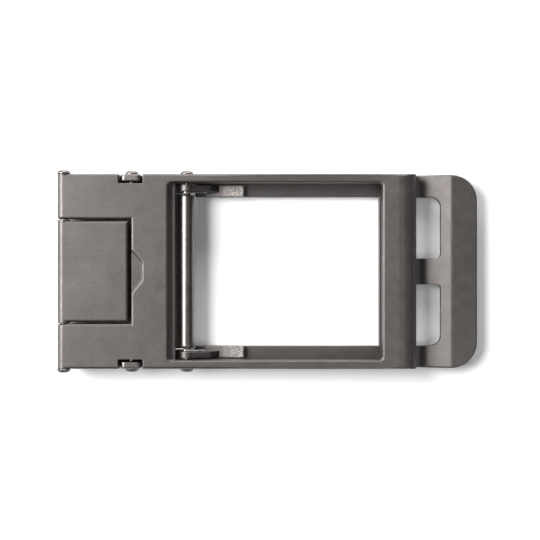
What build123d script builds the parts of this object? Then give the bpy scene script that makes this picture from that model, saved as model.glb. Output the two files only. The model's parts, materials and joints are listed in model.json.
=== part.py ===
"""Open-frame ratchet belt buckle for a 32 mm dress strap, lying face down.

Frame of reference, in millimetres: +X runs along the belt from the clamp end to the lever end, +Y across
the belt, +Z towards the wearer (the back of the buckle). Z = 0 is the plane of the lever's front face, and
the origin is below the middle of the buckle's outline.

The cut end of the strap goes into the clamp cavity at -X and is bitten by the toothed flap. The tail of the
strap passes behind the lever's end plate, in front of the crossbar and its fixed tooth, and out in front of
the roller. Lifting the lever away from the frame lets the strap off the tooth.
"""

from build123d import *

import os
from math import cos, radians, sin

# Driving sizes
LENGTH = 89.6           # clamp knuckle to lever tip
WIDTH = 41.2            # across the side walls
HEIGHT = 8.0            # lever front face to back plate
STRAP = 31.75           # strap that the buckle takes
RUN = 0.05              # radial running clearance of a pin in a bore
BEYOND = 1.0            # how far a cut reaches past the face that it opens

# Frame
FRAME_FOOT = 1.9                    # underside of the side walls, just clear of the lever
PLATE = 1.5                         # thickness of the back plate
KNUCKLE_R = 1.3
SIDE_ROUND = 0.55                   # long top edges
RIM_ROUND = 0.5                     # rims of the window and of the flap's slot
WINDOW_X = (-21.15, 24.1)           # main window in the frame
WINDOW_CORNER = 0.8
CROSSBAR_END = 31.4
WALL_IN = 18.75                     # inner face of the thin side walls
CAVITY_IN = 17.6                    # inner face of the thick walls beside the clamp cavity
CAVITY_END = -22.7                  # the strap end stops here
STOP_WALL_END = -19.8               # the stop wall juts into the window below the back plate
STOP_WALL_TOP = 6.2
CROSSBAR_UNDER = 5.9
DIP_START, DIP_LOW = (-12.0, HEIGHT), (13.0, HEIGHT - 0.5)
CROWN, CROWN_SLOPE = (27.6, HEIGHT), 0.08
SHOULDER = (CROSSBAR_END - 1.2, HEIGHT - 0.35)
NOSE_END = (CROSSBAR_END + RUN, HEIGHT - 2.0)
TOOTH_X = (26.2, 28.2, 28.6, 28.8)  # start of the slope, the tip's two edges, foot of the steep side
TOOTH_DROP = 1.1
TOOTH_HALF = 9.0
NOTCH_W, NOTCH_D = 5.2, 2.0         # notch in each edge that shows the tray's ear
EAR_X = -29.1

# Clamp flap
HEAD_R, HEAD_H, DOME = 1.45, 0.8, 0.72
HINGE_X = -LENGTH / 2 + HEAD_R       # the pin heads reach the clamp end of the outline
HINGE_Z = HEIGHT - KNUCKLE_R
FLAP_END = -29.6
FLAP_HALF = 10.65
FLAP_GAP = 0.4
FLAP_END_GAP = 0.6
FLAP_ROUND = 0.5
FLAP_KNUCKLE_GAP = 0.12
NICK_BASE, NICK_TOP, NICK_DEPTH = 4.4, 1.9, 2.2
NICK_FLOOR = 1.0                    # how far the nick is sunk into the back plate
NICK_CORNER = 1.2
BITE_ROWS, BITE_PITCH, BITE_DROP = 3, 1.5, 0.8
HINGE_PIN_R = 0.7

# Lever
PIVOT_X, PIVOT_Z = -17.4, 4.6
PIVOT_PIN_R = 0.7
SPRING_HOLE = 0.8
ARM_START = -15.8
ARM_IN = STRAP / 2 + 0.22           # half of the lever's window, which the strap passes through
LEVER_WINDOW_END = 23.9
LEVER_T = 1.8
LEVER_WIDTH = 41.5
LEVER_RISE = 2.0
RISE_X = (32.6, 39.3)
SLOT_X = (29.2, 37.1)               # the pair of slots in the end plate
SLOT_IN, SLOT_OUT = 2.8, 16.0
SLOT_CORNERS = (2.2, 0.9)           # radii towards the lever's tip: outer, inner
BEND_R = 2.2
END_RADIUS = 5.6
ARM_CORNER = 0.6
TIP_ROUND = 0.35
LUG_Y = (17.1, 18.45)
LUG_R = 1.7
LUG_CREST = (-12.4, 4.3)            # x, z where the lug's top turns down to the arm
LUG_TOE = -10.4
PAD_X = (-13.4, -9.8, -5.3)
PAD_Z = (1.9, 2.3, 3.1)
PAD_GAP = 0.2

# Roller, springs, fasteners
ROLLER_R, ROLLER_HALF = 1.6, 16.3
ROLLER_ROUND = 0.45
HEAD_GAP = 0.03                     # a pin's head stands this far off the frame
WIRE_R, COIL_R, COIL_PITCH, COIL_TURNS, COIL_STEPS = 0.15, 1.1, 0.36, 1, 18
LEG_ANGLE, LEG_LENGTH = 65, 4.0     # where the lever leg leaves the coil, and how long it is
HOOK, HOOK_BEND = 0.7, 0.3          # end of the lever leg, bent into the lug
TRAY_X = (-44.6, -18.9)             # the tray reaches from the clamp end to below the roller
TRAY_T, TRAY_Z, TRAY_GAP, TRAY_CORNER = 0.8, 1.0, 0.2, 1.2
EAR_W, EAR_T, EAR_TOP, EAR_CORNER, EAR_ROUND = 4.4, 1.5, 7.6, 0.9, 0.35
RIVET_R, RIVET_Z = 0.7, 5.0

HALF_W = WIDTH / 2
SIDES = (1, -1)
PLATE_UNDER = HEIGHT - PLATE
SLOT_EDGE = FLAP_END + FLAP_END_GAP  # the U-shaped slot around the flap ends here
SLOT_HALF = FLAP_HALF + FLAP_GAP
HINGE_AXIS = Plane((HINGE_X, 0, HINGE_Z), x_dir=(1, 0, 0), z_dir=(0, -1, 0))
PIVOT_AXIS = Plane((PIVOT_X, 0, PIVOT_Z), x_dir=(1, 0, 0), z_dir=(0, -1, 0))
RIVET_AXIS = Plane((EAR_X, 0, RIVET_Z), x_dir=(1, 0, 0), z_dir=(0, -1, 0))
TURN_END = 90           # degrees: the fixed leg leaves the top of the coil
LEG = radians(LEG_ANGLE)
HOOK_XZ = (
    PIVOT_X + COIL_R * cos(LEG) + LEG_LENGTH * sin(LEG),
    PIVOT_Z + COIL_R * sin(LEG) - LEG_LENGTH * cos(LEG),
)
HOOK_AXIS = Plane((HOOK_XZ[0], 0, HOOK_XZ[1]), x_dir=(1, 0, 0), z_dir=(0, -1, 0))
LEG_Y = LUG_Y[0] - WIRE_R - RUN     # the coil lies between the lug and the end of the roller
COIL_Y = (LEG_Y, LEG_Y - COIL_PITCH * COIL_TURNS)

os.makedirs("parts", exist_ok=True)


def box_between(low, high, mode=Mode.ADD):
    """Adds or cuts a box between two corners in the part being built."""
    size = [b - a for a, b in zip(low, high)]
    middle = [(a + b) / 2 for a, b in zip(low, high)]
    with Locations(tuple(middle)):
        Box(*size, mode=mode)


def cross_rod(plane, radius, start, end, mode=Mode.ADD):
    """Adds or cuts a rod along Y, between two values of Y, centred on an axis plane."""
    with BuildSketch(plane.offset(-end)) as disc:
        Circle(radius)
    extrude(disc.sketch, amount=end - start, mode=mode)


def riveted_pin(pin, plane, radius, seat):
    """A rod across the buckle with a low domed head at each end, its flats against Y = +-seat."""
    cross_rod(plane, radius, -seat, seat)
    cross_rod(plane, HEAD_R, seat, seat + HEAD_H)
    cross_rod(plane, HEAD_R, -seat - HEAD_H, -seat)
    fillet(pin.edges().group_by(Axis.Y)[-1], DOME)
    fillet(pin.edges().group_by(Axis.Y)[0], DOME)


# Frame: back plate with the clamp cavity, thin side walls, and the crossbar with its fixed tooth
with BuildPart() as frame:
    box_between((HINGE_X, -HALF_W, FRAME_FOOT), (CROSSBAR_END, HALF_W, HEIGHT))
    fillet(frame.edges().filter_by(Axis.X).group_by(Axis.Z)[-1], SIDE_ROUND)
    # The side walls' tops dip a little and rise again to the crossbar, which ends in a rounded nose
    with BuildSketch(Plane.XZ.offset(-WIDTH)):
        with BuildLine():
            dip = Spline(DIP_START, DIP_LOW, CROWN, tangents=((1, 0), (1, CROWN_SLOPE)))
            shoulder = TangentArc(CROWN, SHOULDER, tangent=dip % 1)
            TangentArc(SHOULDER, NOSE_END, tangent=shoulder % 1)
            Polyline(NOSE_END, (NOSE_END[0], HEIGHT + BEYOND), (DIP_START[0], HEIGHT + BEYOND), DIP_START)
        make_face()
    extrude(amount=2 * WIDTH, mode=Mode.SUBTRACT)
    box_between((HINGE_X - BEYOND, -CAVITY_IN, 0), (CAVITY_END, CAVITY_IN, PLATE_UNDER), Mode.SUBTRACT)
    cross_rod(HINGE_AXIS, KNUCKLE_R, -HALF_W, HALF_W)
    with BuildSketch(Plane.XY):
        with Locations((sum(WINDOW_X) / 2, 0)):
            RectangleRounded(WINDOW_X[1] - WINDOW_X[0], 2 * WALL_IN, WINDOW_CORNER)
    extrude(amount=HEIGHT, mode=Mode.SUBTRACT)
    box_between((0, -WALL_IN, 0), (CROSSBAR_END + BEYOND, WALL_IN, CROSSBAR_UNDER), Mode.SUBTRACT)
    window_rim = frame.edges().filter_by(
        lambda e: WINDOW_X[0] - RUN < e.center().X < WINDOW_X[1] + RUN
        and abs(e.center().Y) < WALL_IN + RUN and e.center().Z > HEIGHT - BEYOND)
    fillet(window_rim, RIM_ROUND)
    box_between((CAVITY_END, -WALL_IN, FRAME_FOOT), (STOP_WALL_END, WALL_IN, STOP_WALL_TOP))
    # U-shaped slot for the flap, with the nick that a fingernail lifts it by
    box_between((HINGE_X - 2 * KNUCKLE_R, -SLOT_HALF, HINGE_Z - 2 * KNUCKLE_R),
                (SLOT_EDGE, SLOT_HALF, HEIGHT + BEYOND), Mode.SUBTRACT)
    with BuildSketch(Plane.XY.offset(HEIGHT - NICK_FLOOR)) as nick:
        with BuildLine():
            Polyline((SLOT_EDGE, NICK_BASE), (SLOT_EDGE + NICK_DEPTH, NICK_TOP),
                     (SLOT_EDGE + NICK_DEPTH, -NICK_TOP), (SLOT_EDGE, -NICK_BASE), close=True)
        make_face()
        fillet(nick.vertices().group_by(Axis.X)[-1], NICK_CORNER)
    extrude(amount=NICK_FLOOR, mode=Mode.SUBTRACT)
    slot_rim = frame.edges().group_by(Axis.Z)[-1].filter_by(
        lambda e: HINGE_X < e.center().X < SLOT_EDGE + NICK_DEPTH + RUN
        and abs(e.center().Y) < SLOT_HALF + RUN)
    fillet(slot_rim, RIM_ROUND)
    for side in SIDES:
        edges = sorted((side * (HALF_W - NOTCH_D), side * (HALF_W + BEYOND)))
        box_between((EAR_X - NOTCH_W / 2, edges[0], 0), (EAR_X + NOTCH_W / 2, edges[1], HEIGHT + BEYOND),
                    Mode.SUBTRACT)
    # Fixed tooth under the crossbar: steep towards the lever end, sloping towards the clamp end
    with BuildSketch(Plane.XZ.offset(-TOOTH_HALF)):
        with BuildLine():
            Polyline((TOOTH_X[0], CROSSBAR_UNDER + RUN), (TOOTH_X[1], CROSSBAR_UNDER - TOOTH_DROP),
                     (TOOTH_X[2], CROSSBAR_UNDER - TOOTH_DROP), (TOOTH_X[3], CROSSBAR_UNDER + RUN),
                     close=True)
        make_face()
    extrude(amount=2 * TOOTH_HALF)
    cross_rod(HINGE_AXIS, HINGE_PIN_R + RUN, -WIDTH, WIDTH, Mode.SUBTRACT)
    cross_rod(PIVOT_AXIS, PIVOT_PIN_R + RUN, -WIDTH, WIDTH, Mode.SUBTRACT)
    cross_rod(RIVET_AXIS, RIVET_R + RUN, -WIDTH, WIDTH, Mode.SUBTRACT)
    # Blind holes in the stop wall for the springs' fixed legs
    for side in SIDES:
        with BuildSketch(Plane((STOP_WALL_END, side * COIL_Y[1], PIVOT_Z + COIL_R), z_dir=(-1, 0, 0))):
            Circle(WIRE_R + RUN)
        extrude(amount=SPRING_HOLE, mode=Mode.SUBTRACT)

# Lever: two arms with lugs, and an end plate with a pair of slots and a raised tip
with BuildPart() as lever:
    with BuildSketch(Plane.XZ.offset(-LEVER_WIDTH / 2)) as side_profile:
        with BuildLine():
            Polyline((ARM_START, 0), (RISE_X[0], 0), (RISE_X[1], LEVER_RISE), (LENGTH / 2, LEVER_RISE),
                     (LENGTH / 2, LEVER_RISE + LEVER_T), (RISE_X[1], LEVER_RISE + LEVER_T),
                     (RISE_X[0], LEVER_T), (ARM_START, LEVER_T), close=True)
        make_face()
        bends = side_profile.vertices().filter_by(lambda v: RISE_X[0] - RUN < v.X < RISE_X[1] + RUN)
        fillet(bends, BEND_R)
    extrude(amount=LEVER_WIDTH)
    with BuildSketch(Plane.XY) as outline:
        with Locations((ARM_START, 0)):
            Rectangle(LENGTH / 2 - ARM_START, LEVER_WIDTH, align=(Align.MIN, Align.CENTER))
        fillet(outline.vertices().group_by(Axis.X)[-1], END_RADIUS)
        fillet(outline.vertices().group_by(Axis.X)[0], ARM_CORNER)
    extrude(amount=HEIGHT, mode=Mode.INTERSECT)
    fillet(lever.faces().filter_by(Plane.XY).sort_by(Axis.Z)[-1].edges().filter_by(
        lambda e: e.center().X > RISE_X[1] + BEND_R), TIP_ROUND)
    # Rising pads on the arms, between the side walls, and the lugs that stand on the arms
    for side in SIDES:
        pad = sorted((side * ARM_IN, side * (WALL_IN - PAD_GAP)))
        with BuildSketch(Plane.XZ.offset(-pad[1])):
            with BuildLine():
                Polyline((PAD_X[0], LEVER_T / 2), (PAD_X[2], LEVER_T / 2), (PAD_X[2], PAD_Z[2]),
                         (PAD_X[1], PAD_Z[1]), (PAD_X[0], PAD_Z[0]), close=True)
            make_face()
        extrude(amount=pad[1] - pad[0])
        lug = sorted((side * LUG_Y[0], side * LUG_Y[1]))
        with BuildSketch(Plane.XZ.offset(-lug[1])):
            with Locations((PIVOT_X, PIVOT_Z)):
                Circle(LUG_R)
            with BuildLine():
                Polyline((PIVOT_X, PIVOT_Z - LUG_R), (ARM_START, LEVER_T / 2), (LUG_TOE, LEVER_T / 2),
                         (LUG_TOE, PAD_Z[0]), LUG_CREST, (PIVOT_X, PIVOT_Z + LUG_R), close=True)
            make_face()
        extrude(amount=lug[1] - lug[0])
    box_between((ARM_START - LUG_R, -ARM_IN, 0), (LEVER_WINDOW_END, ARM_IN, HEIGHT), Mode.SUBTRACT)
    with BuildSketch(Plane.XY) as slots:
        for side in SIDES:
            with Locations(((SLOT_X[0] + SLOT_X[1]) / 2, side * (SLOT_IN + SLOT_OUT) / 2)):
                Rectangle(SLOT_X[1] - SLOT_X[0], SLOT_OUT - SLOT_IN)
        corners = slots.vertices().group_by(Axis.X)[-1].sort_by(Axis.Y)
        fillet([corners[0], corners[-1]], SLOT_CORNERS[0])
        corners = slots.vertices().filter_by(lambda v: v.X > SLOT_X[1] - RUN and abs(v.Y) < SLOT_IN + RUN)
        fillet(corners, SLOT_CORNERS[1])
    extrude(amount=HEIGHT, mode=Mode.SUBTRACT)
    cross_rod(PIVOT_AXIS, PIVOT_PIN_R + RUN, -WIDTH, WIDTH, Mode.SUBTRACT)
    cross_rod(HOOK_AXIS, WIRE_R + RUN, -WIDTH, WIDTH, Mode.SUBTRACT)

# Clamp flap: plate, hinge knuckle and rows of biting teeth
with BuildPart() as clamp_flap:
    box_between((HINGE_X, -FLAP_HALF, PLATE_UNDER), (FLAP_END, FLAP_HALF, HEIGHT))
    top_edges = clamp_flap.faces().sort_by(Axis.Z)[-1].edges().filter_by(
        lambda e: e.center().X > HINGE_X + RUN)
    fillet(top_edges, FLAP_ROUND)
    cross_rod(HINGE_AXIS, KNUCKLE_R, FLAP_KNUCKLE_GAP - SLOT_HALF, SLOT_HALF - FLAP_KNUCKLE_GAP)
    with BuildSketch(Plane.XZ.offset(-FLAP_HALF + BEYOND)):
        for row in range(BITE_ROWS):
            x = FLAP_END - (row + 1) * BITE_PITCH
            with BuildLine():
                Polyline((x - BITE_PITCH / 3, PLATE_UNDER + RUN), (x, PLATE_UNDER - BITE_DROP),
                         (x + BITE_PITCH / 3, PLATE_UNDER + RUN), close=True)
            make_face()
    extrude(amount=2 * (FLAP_HALF - BEYOND))
    cross_rod(HINGE_AXIS, HINGE_PIN_R + RUN, -WIDTH, WIDTH, Mode.SUBTRACT)

# Hinge pin of the flap and pivot pin of the lever, each peened over at both ends
with BuildPart() as flap_hinge_pin:
    riveted_pin(flap_hinge_pin, HINGE_AXIS, HINGE_PIN_R, HALF_W + HEAD_GAP)

with BuildPart() as lever_pivot_pin:
    riveted_pin(lever_pivot_pin, PIVOT_AXIS, PIVOT_PIN_R, HALF_W + HEAD_GAP)

# Roller: a sleeve on the pivot pin that the strap runs over
with BuildPart() as roller:
    cross_rod(PIVOT_AXIS, ROLLER_R, -ROLLER_HALF, ROLLER_HALF)
    fillet(roller.edges(), ROLLER_ROUND)
    cross_rod(PIVOT_AXIS, PIVOT_PIN_R + RUN, -WIDTH, WIDTH, Mode.SUBTRACT)

# Clamp tray: the floor that the strap end is pressed against, with an ear bent up at each side
with BuildPart() as clamp_tray:
    box_between((TRAY_X[0], -HALF_W + TRAY_GAP, TRAY_Z), (TRAY_X[1], HALF_W - TRAY_GAP, TRAY_Z + TRAY_T))
    fillet(clamp_tray.edges().filter_by(Axis.Z), TRAY_CORNER)
    for side in SIDES:
        ear = sorted((side * (HALF_W - EAR_T - RUN), side * (HALF_W - RUN)))
        with BuildSketch(Plane.XZ.offset(-ear[1])) as ear_shape:
            with Locations((EAR_X, (TRAY_Z + EAR_TOP) / 2)):
                Rectangle(EAR_W, EAR_TOP - TRAY_Z)
            fillet(ear_shape.vertices().group_by(Axis.Y)[-1], EAR_CORNER)
        extrude(amount=ear[1] - ear[0])
    top_rims = clamp_tray.edges().filter_by(lambda e: e.center().Z > EAR_TOP - RUN)
    fillet(top_rims.filter_by(Axis.X), EAR_ROUND)
    cross_rod(RIVET_AXIS, RIVET_R + RUN, -WIDTH, WIDTH, Mode.SUBTRACT)

# Rivets: one through each ear and the side wall beside it
with BuildPart() as tray_rivets:
    riveted_pin(tray_rivets, RIVET_AXIS, RIVET_R, HALF_W)
    box_between((EAR_X - HEAD_R, -CAVITY_IN, 0), (EAR_X + HEAD_R, CAVITY_IN, HEIGHT), Mode.SUBTRACT)


def torsion_spring(side):
    """One wire: a hook in the lug, a leg, a turn round the pivot pin and a straight leg in the stop wall."""
    near = (PIVOT_X + COIL_R * cos(LEG), side * COIL_Y[0], PIVOT_Z + COIL_R * sin(LEG))
    far = (PIVOT_X, side * COIL_Y[1], PIVOT_Z + COIL_R)
    hook = (HOOK_XZ[0], side * COIL_Y[0], HOOK_XZ[1])
    turn = radians(360 * COIL_TURNS + TURN_END) - LEG
    points = []
    for share in (i / COIL_STEPS for i in range(COIL_STEPS + 1)):
        angle = LEG + turn * share
        points.append((PIVOT_X + COIL_R * cos(angle), near[1] + (far[1] - near[1]) * share,
                       PIVOT_Z + COIL_R * sin(angle)))
    with BuildPart() as spring:
        with BuildLine() as wire_path:
            FilletPolyline((hook[0], hook[1] + side * HOOK, hook[2]), hook, near, radius=HOOK_BEND)
            Spline(points, tangents=((-sin(LEG), 0, cos(LEG)), (-1, 0, 0)), tangent_scalars=(1, 1))
            Line(far, (STOP_WALL_END - SPRING_HOLE + BEYOND / 2, far[1], far[2]))
        with BuildSketch(Plane((hook[0], hook[1] + side * HOOK, hook[2]), z_dir=(0, -side, 0))) as section:
            Circle(WIRE_R)
        sweep(section.sketch, path=wire_path.wire())
    return spring


spring_upper = torsion_spring(1)
spring_lower = torsion_spring(-1)

PARTS = {
    "frame": frame,
    "lever": lever,
    "clamp_flap": clamp_flap,
    "flap_hinge_pin": flap_hinge_pin,
    "lever_pivot_pin": lever_pivot_pin,
    "roller": roller,
    "clamp_tray": clamp_tray,
    "tray_rivets": tray_rivets,
    "spring_upper": spring_upper,
    "spring_lower": spring_lower,
}
for label, built in PARTS.items():
    built.part.label = label
    export_step(built.part, f"parts/{label}.step")
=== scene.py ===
"""Looks for the open-frame ratchet buckle: satin gunmetal castings and bright pins on a white table."""

import json

import bpy
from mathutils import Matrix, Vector


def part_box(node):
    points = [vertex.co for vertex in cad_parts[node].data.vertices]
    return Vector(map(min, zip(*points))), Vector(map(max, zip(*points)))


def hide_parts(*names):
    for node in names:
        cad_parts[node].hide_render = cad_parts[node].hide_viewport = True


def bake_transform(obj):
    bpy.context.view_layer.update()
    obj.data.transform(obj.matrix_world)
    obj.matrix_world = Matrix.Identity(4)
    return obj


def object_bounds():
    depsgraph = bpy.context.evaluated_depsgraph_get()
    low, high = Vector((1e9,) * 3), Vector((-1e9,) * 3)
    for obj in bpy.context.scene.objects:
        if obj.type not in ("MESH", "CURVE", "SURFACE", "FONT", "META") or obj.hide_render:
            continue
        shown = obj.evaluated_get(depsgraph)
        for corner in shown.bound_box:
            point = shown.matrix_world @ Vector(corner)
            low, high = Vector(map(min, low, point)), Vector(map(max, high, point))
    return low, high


MM = 0.001

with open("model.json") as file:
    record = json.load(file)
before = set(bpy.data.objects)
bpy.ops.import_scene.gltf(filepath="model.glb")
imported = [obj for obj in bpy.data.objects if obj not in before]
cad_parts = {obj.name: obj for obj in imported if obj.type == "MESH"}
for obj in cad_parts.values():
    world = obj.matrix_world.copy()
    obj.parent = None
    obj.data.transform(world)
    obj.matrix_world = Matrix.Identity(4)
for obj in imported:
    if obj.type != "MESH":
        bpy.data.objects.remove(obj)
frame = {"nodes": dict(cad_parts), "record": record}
cad_low, cad_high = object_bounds()
scene = bpy.context.scene
nodes = frame["nodes"]
centre = (cad_low + cad_high) / 2
back = cad_high.z                   # height of the back plate, which faces the camera


# Materials

CLOUD_MM, CLOUD_RANGE = 7.0, (0.93, 1.07)   # size of the faint clouding, and how it scales the colour
SPECK_MM, SPECK_RANGE = 0.30, (0.90, 1.10)  # the same for the blasted grain
GLOSS_MM, GLOSS_SWING = 2.0, 0.04           # size of the glossier patches, and how far they go
BUMP_MM, BUMP_HEIGHT_MM = 0.21, 0.05        # grain of the surface, and its full height
EDGE_MM = 0.30                              # how far an edge's softness, its wear and its painted highlight reach
EDGE_SAMPLES = 6
EDGE_SPAN = (1.0, 0.75)                     # cosines at which an edge has none and all of its wear and painted highlight
EDGE_WEAR_AND_HIGHLIGHT_GAIN = 2.0                             # an edge is painted this much lighter: rubbed wear and a painted highlight together
NOISE_SPAN = (0.3, 0.7)                     # where nearly all of a noise texture's values lie
NOISE_DETAIL = 3.0

GUNMETAL = {"colour": (0.122, 0.112, 0.108), "roughness": 0.48, "grain_depth": 0.20}

PATCH_MM = (6.0, 10.6)                      # where the lever's rough patches lie, from the roller's side
PATCH_FLOOR_MM = 1.95                       # the arms beside the patches are lower than this
PATCH_EDGE_MM = 0.1                         # how sharply they end
PATCH_GRAIN_MM = 0.35
# colour of the pads' flecks: their rough as-cast grain, painted lighter as sparkle and highlight
PATCH_GRAIN_AND_LIGHT_COLOUR = (0.26, 0.245, 0.235)
PATCH_FLECKS = {"start": -0.6, "end": 0.9, "span": (0.42, 0.60)}    # sparse: below 0 nothing shows


class Finish:
    """A material's node tree, with short calls to add and join nodes."""

    def __init__(self, name):
        self.material = bpy.data.materials.new(name)
        self.material.use_nodes = True
        self.tree = self.material.node_tree
        self.shader = self.tree.nodes["Principled BSDF"]
        self.place = self.add("ShaderNodeTexCoord").outputs["Object"]

    def add(self, kind, inputs=None, **settings):
        node = self.tree.nodes.new(kind)
        for key, value in settings.items():
            setattr(node, key, value)
        for key, value in (inputs or {}).items():
            node.inputs[key].default_value = value
        return node

    def join(self, source, target):
        self.tree.links.new(source, target)

    def noise(self, grain_mm, stretch=(1, 1, 1)):
        """Noise with grains of about this size; a stretch below 1 draws them out along that axis."""
        mapping = self.add("ShaderNodeMapping", {"Scale": stretch})
        self.join(self.place, mapping.inputs["Vector"])
        noise = self.add("ShaderNodeTexNoise", {"Scale": 1 / (grain_mm * MM), "Detail": NOISE_DETAIL})
        self.join(mapping.outputs["Vector"], noise.inputs["Vector"])
        return noise.outputs["Fac"]

    def spread(self, value, start, end, span=NOISE_SPAN):
        """Maps a span of values onto start to end."""
        node = self.add("ShaderNodeMapRange", {
            "From Min": span[0], "From Max": span[1], "To Min": start, "To Max": end})
        self.join(value, node.inputs["Value"])
        return node.outputs["Result"]

    def product(self, a, b):
        node = self.add("ShaderNodeMath", operation="MULTIPLY")
        self.join(a, node.inputs[0])
        self.join(b, node.inputs[1])
        return node.outputs["Value"]

    def edges(self, edge_wear_and_highlight):
        """A mask that rises at the edges to the given amount of wear and painted highlight, and normals
        that run softly round them.
        """
        bevel = self.add("ShaderNodeBevel", {"Radius": EDGE_MM * MM}, samples=EDGE_SAMPLES)
        flat = self.add("ShaderNodeNewGeometry").outputs["Normal"]
        dot = self.add("ShaderNodeVectorMath", operation="DOT_PRODUCT")
        self.join(bevel.outputs["Normal"], dot.inputs[0])
        self.join(flat, dot.inputs[1])
        worn_and_highlit_edges = self.spread(dot.outputs["Value"], 0.0, edge_wear_and_highlight, span=EDGE_SPAN)
        return worn_and_highlit_edges, bevel.outputs["Normal"]

    def overlay(self, colour, amount):
        """Lays a colour over the base colour, as far as the amount says."""
        mix = self.add("ShaderNodeMixRGB", {"Color2": (*colour, 1)})
        base = self.shader.inputs["Base Color"]
        self.join(base.links[0].from_socket, mix.inputs["Color1"])
        self.join(amount, mix.inputs["Fac"])
        self.join(mix.outputs["Color"], base)


def plated_metal(name, colour, roughness, grain_depth, edge_wear_and_highlight=0.5, stretch=(1, 1, 1)):
    """Gunmetal plating: blasted grain, faint clouds of colour and gloss, and edges painted lighter as
    rubbed wear and as a painted highlight.
    """
    metal = Finish(name)
    shade = metal.product(metal.spread(metal.noise(CLOUD_MM), *CLOUD_RANGE),
                          metal.spread(metal.noise(SPECK_MM, stretch), *SPECK_RANGE))
    tint = metal.add("ShaderNodeVectorMath", operation="SCALE")
    tint.inputs[0].default_value = colour
    metal.join(shade, tint.inputs["Scale"])
    metal.join(tint.outputs["Vector"], metal.shader.inputs["Base Color"])
    worn_and_highlit_edges, soft_normal = metal.edges(edge_wear_and_highlight)
    # edges painted lighter: part rubbed wear, part painted highlight
    metal.overlay([EDGE_WEAR_AND_HIGHLIGHT_GAIN * c for c in colour], worn_and_highlit_edges)
    gloss = metal.spread(metal.noise(GLOSS_MM, stretch), roughness - GLOSS_SWING, roughness + GLOSS_SWING)
    metal.join(gloss, metal.shader.inputs["Roughness"])
    bump = metal.add("ShaderNodeBump", {"Strength": grain_depth, "Distance": BUMP_HEIGHT_MM * MM})
    metal.join(metal.noise(BUMP_MM, stretch), bump.inputs["Height"])
    metal.join(soft_normal, bump.inputs["Normal"])
    metal.join(bump.outputs["Normal"], metal.shader.inputs["Normal"])
    metal.shader.inputs["Metallic"].default_value = 1.0
    return metal


def patchy_casting_and_light():
    """The lever's gunmetal, with lighter flecks painted on the pads of its arms, growing over each pad's
    first half: the pads' rough as-cast grain, and painted sparkle and highlight where light catches the
    rising pads.
    """
    metal = plated_metal("satin_gunmetal_lever", **GUNMETAL)
    roller_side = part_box("roller")[1].x
    first, last = (roller_side + distance * MM for distance in PATCH_MM)
    floor, edge = PATCH_FLOOR_MM * MM, PATCH_EDGE_MM * MM
    split = metal.add("ShaderNodeSeparateXYZ")
    metal.join(metal.place, split.inputs["Vector"])
    fading_in = metal.spread(split.outputs["X"], 0, 1, span=(first, (first + last) / 2))
    ending = metal.spread(split.outputs["X"], 1, 0, span=(last, last + edge))
    above = metal.spread(split.outputs["Z"], 0, 1, span=(floor, floor + edge))
    inside = metal.product(metal.product(fading_in, ending), above)
    # flecks painted lighter on the pads: rough as-cast grain, and painted sparkle and highlight
    grain_and_sparkle_flecks = metal.spread(metal.noise(PATCH_GRAIN_MM), **PATCH_FLECKS)
    metal.overlay(PATCH_GRAIN_AND_LIGHT_COLOUR, metal.product(inside, grain_and_sparkle_flecks))
    return metal


FINISHES = {
    "satin_casting": plated_metal("satin_gunmetal", **GUNMETAL),
    "plated_steel": plated_metal("plated_pin_steel", (0.190, 0.173, 0.166), 0.34, 0.10),
    "tray_sheet": plated_metal("pressed_sheet", (0.180, 0.163, 0.157), 0.40, 0.12, stretch=(0.15, 1, 1)),
    "spring_wire": plated_metal("bright_spring_wire", (0.45, 0.44, 0.43), 0.22, 0.05, edge_wear_and_highlight=0.2),
}
OWN_FINISHES = {"lever": patchy_casting_and_light()}
SLOT_OF = {row["node"]: row["material_slot"] for row in frame["record"]["subparts"]}
for node_name, node in nodes.items():
    finish = OWN_FINISHES.get(node_name, FINISHES[SLOT_OF[node_name]])
    node.data.materials.clear()
    node.data.materials.append(finish.material)


# Springs: each CAD spring is shown as a plain copy of itself


def bending_spring(node_name):
    """A copy of a CAD spring that takes its place; the CAD spring itself is hidden."""
    wire = nodes[node_name].copy()
    wire.data = nodes[node_name].data.copy()
    wire.parent = None
    wire.name = f"torsion_{node_name}"
    for key in list(wire.keys()):
        del wire[key]
    scene.collection.objects.link(wire)
    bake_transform(wire)
    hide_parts(node_name)


for name in ("spring_upper", "spring_lower"):
    bending_spring(name)


# Table, lights and camera

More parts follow.
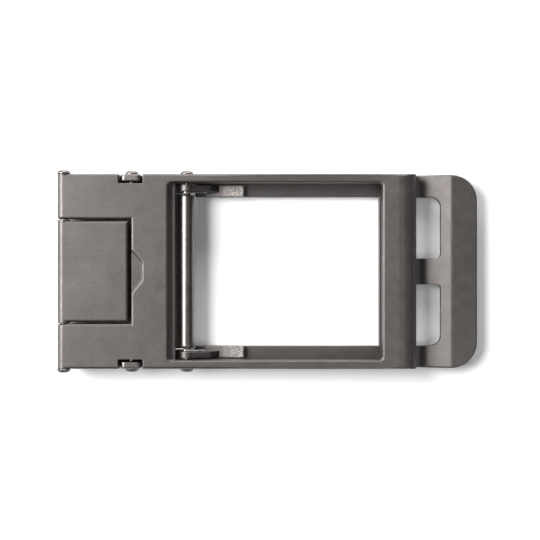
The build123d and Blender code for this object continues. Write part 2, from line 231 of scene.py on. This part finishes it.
TABLE_SIZE = 4.0
TABLE_GAP_MM = 0.15                 # the buckle lies this far over the table
PAPER_COLOUR = (0.93, 0.93, 0.935, 1)
PAPER_CLOUD_MM, PAPER_ROUGHNESS = 8.0, (0.72, 0.78)
SKY_COLOUR, SKY_STRENGTH = (0.95, 0.97, 1.0, 1), 0.10
CAMERA_ABOVE = 250 * MM             # over the back plate
FRAMED = 113.8 * MM                 # width of the picture at the back plate
CAMERA_ASIDE = (0.35 * MM, 0.3 * MM)    # from the middle of the buckle
NEAREST = 10 * MM                   # nothing nearer to the camera than this is drawn


def white_table():
    bpy.ops.mesh.primitive_plane_add(size=TABLE_SIZE, location=(0, 0, -TABLE_GAP_MM * MM))
    table = bpy.context.object
    table.name = "table"
    paper = Finish("white_table")
    roughness = paper.spread(paper.noise(PAPER_CLOUD_MM), *PAPER_ROUGHNESS)
    paper.join(roughness, paper.shader.inputs["Roughness"])
    paper.shader.inputs["Base Color"].default_value = PAPER_COLOUR
    table.data.materials.append(paper.material)


def softbox(name, place, size, power):
    """A rectangular light of some watts at a place, aimed at the middle of the buckle."""
    data = bpy.data.lights.new(name, "AREA")
    data.shape = "RECTANGLE"
    data.size, data.size_y = size
    data.energy = power
    lamp = bpy.data.objects.new(name, data)
    lamp.location = place
    lamp.rotation_euler = (centre - Vector(place)).to_track_quat("-Z", "Y").to_euler()
    scene.collection.objects.link(lamp)


white_table()
softbox("softbox_left", (-0.48, 0.14, 0.50), (0.45, 0.45), 10.0)
softbox("softbox_right", (0.16, -0.24, 0.55), (0.20, 0.20), 0.6)
softbox("softbox_behind", (0.05, 0.52, 0.18), (0.60, 0.20), 3.5)

world = bpy.data.worlds.new("studio")
world.use_nodes = True
sky = world.node_tree.nodes["Background"]
sky.inputs["Color"].default_value = SKY_COLOUR
sky.inputs["Strength"].default_value = SKY_STRENGTH
scene.world = world
scene.view_settings.view_transform = "Standard"

camera_data = bpy.data.cameras.new("camera")
camera_data.lens = camera_data.sensor_width * CAMERA_ABOVE / FRAMED
camera_data.clip_start = NEAREST
camera = bpy.data.objects.new("camera", camera_data)
camera.location = centre + Vector((*CAMERA_ASIDE, back - centre.z + CAMERA_ABOVE))
scene.collection.objects.link(camera)
scene.camera = camera
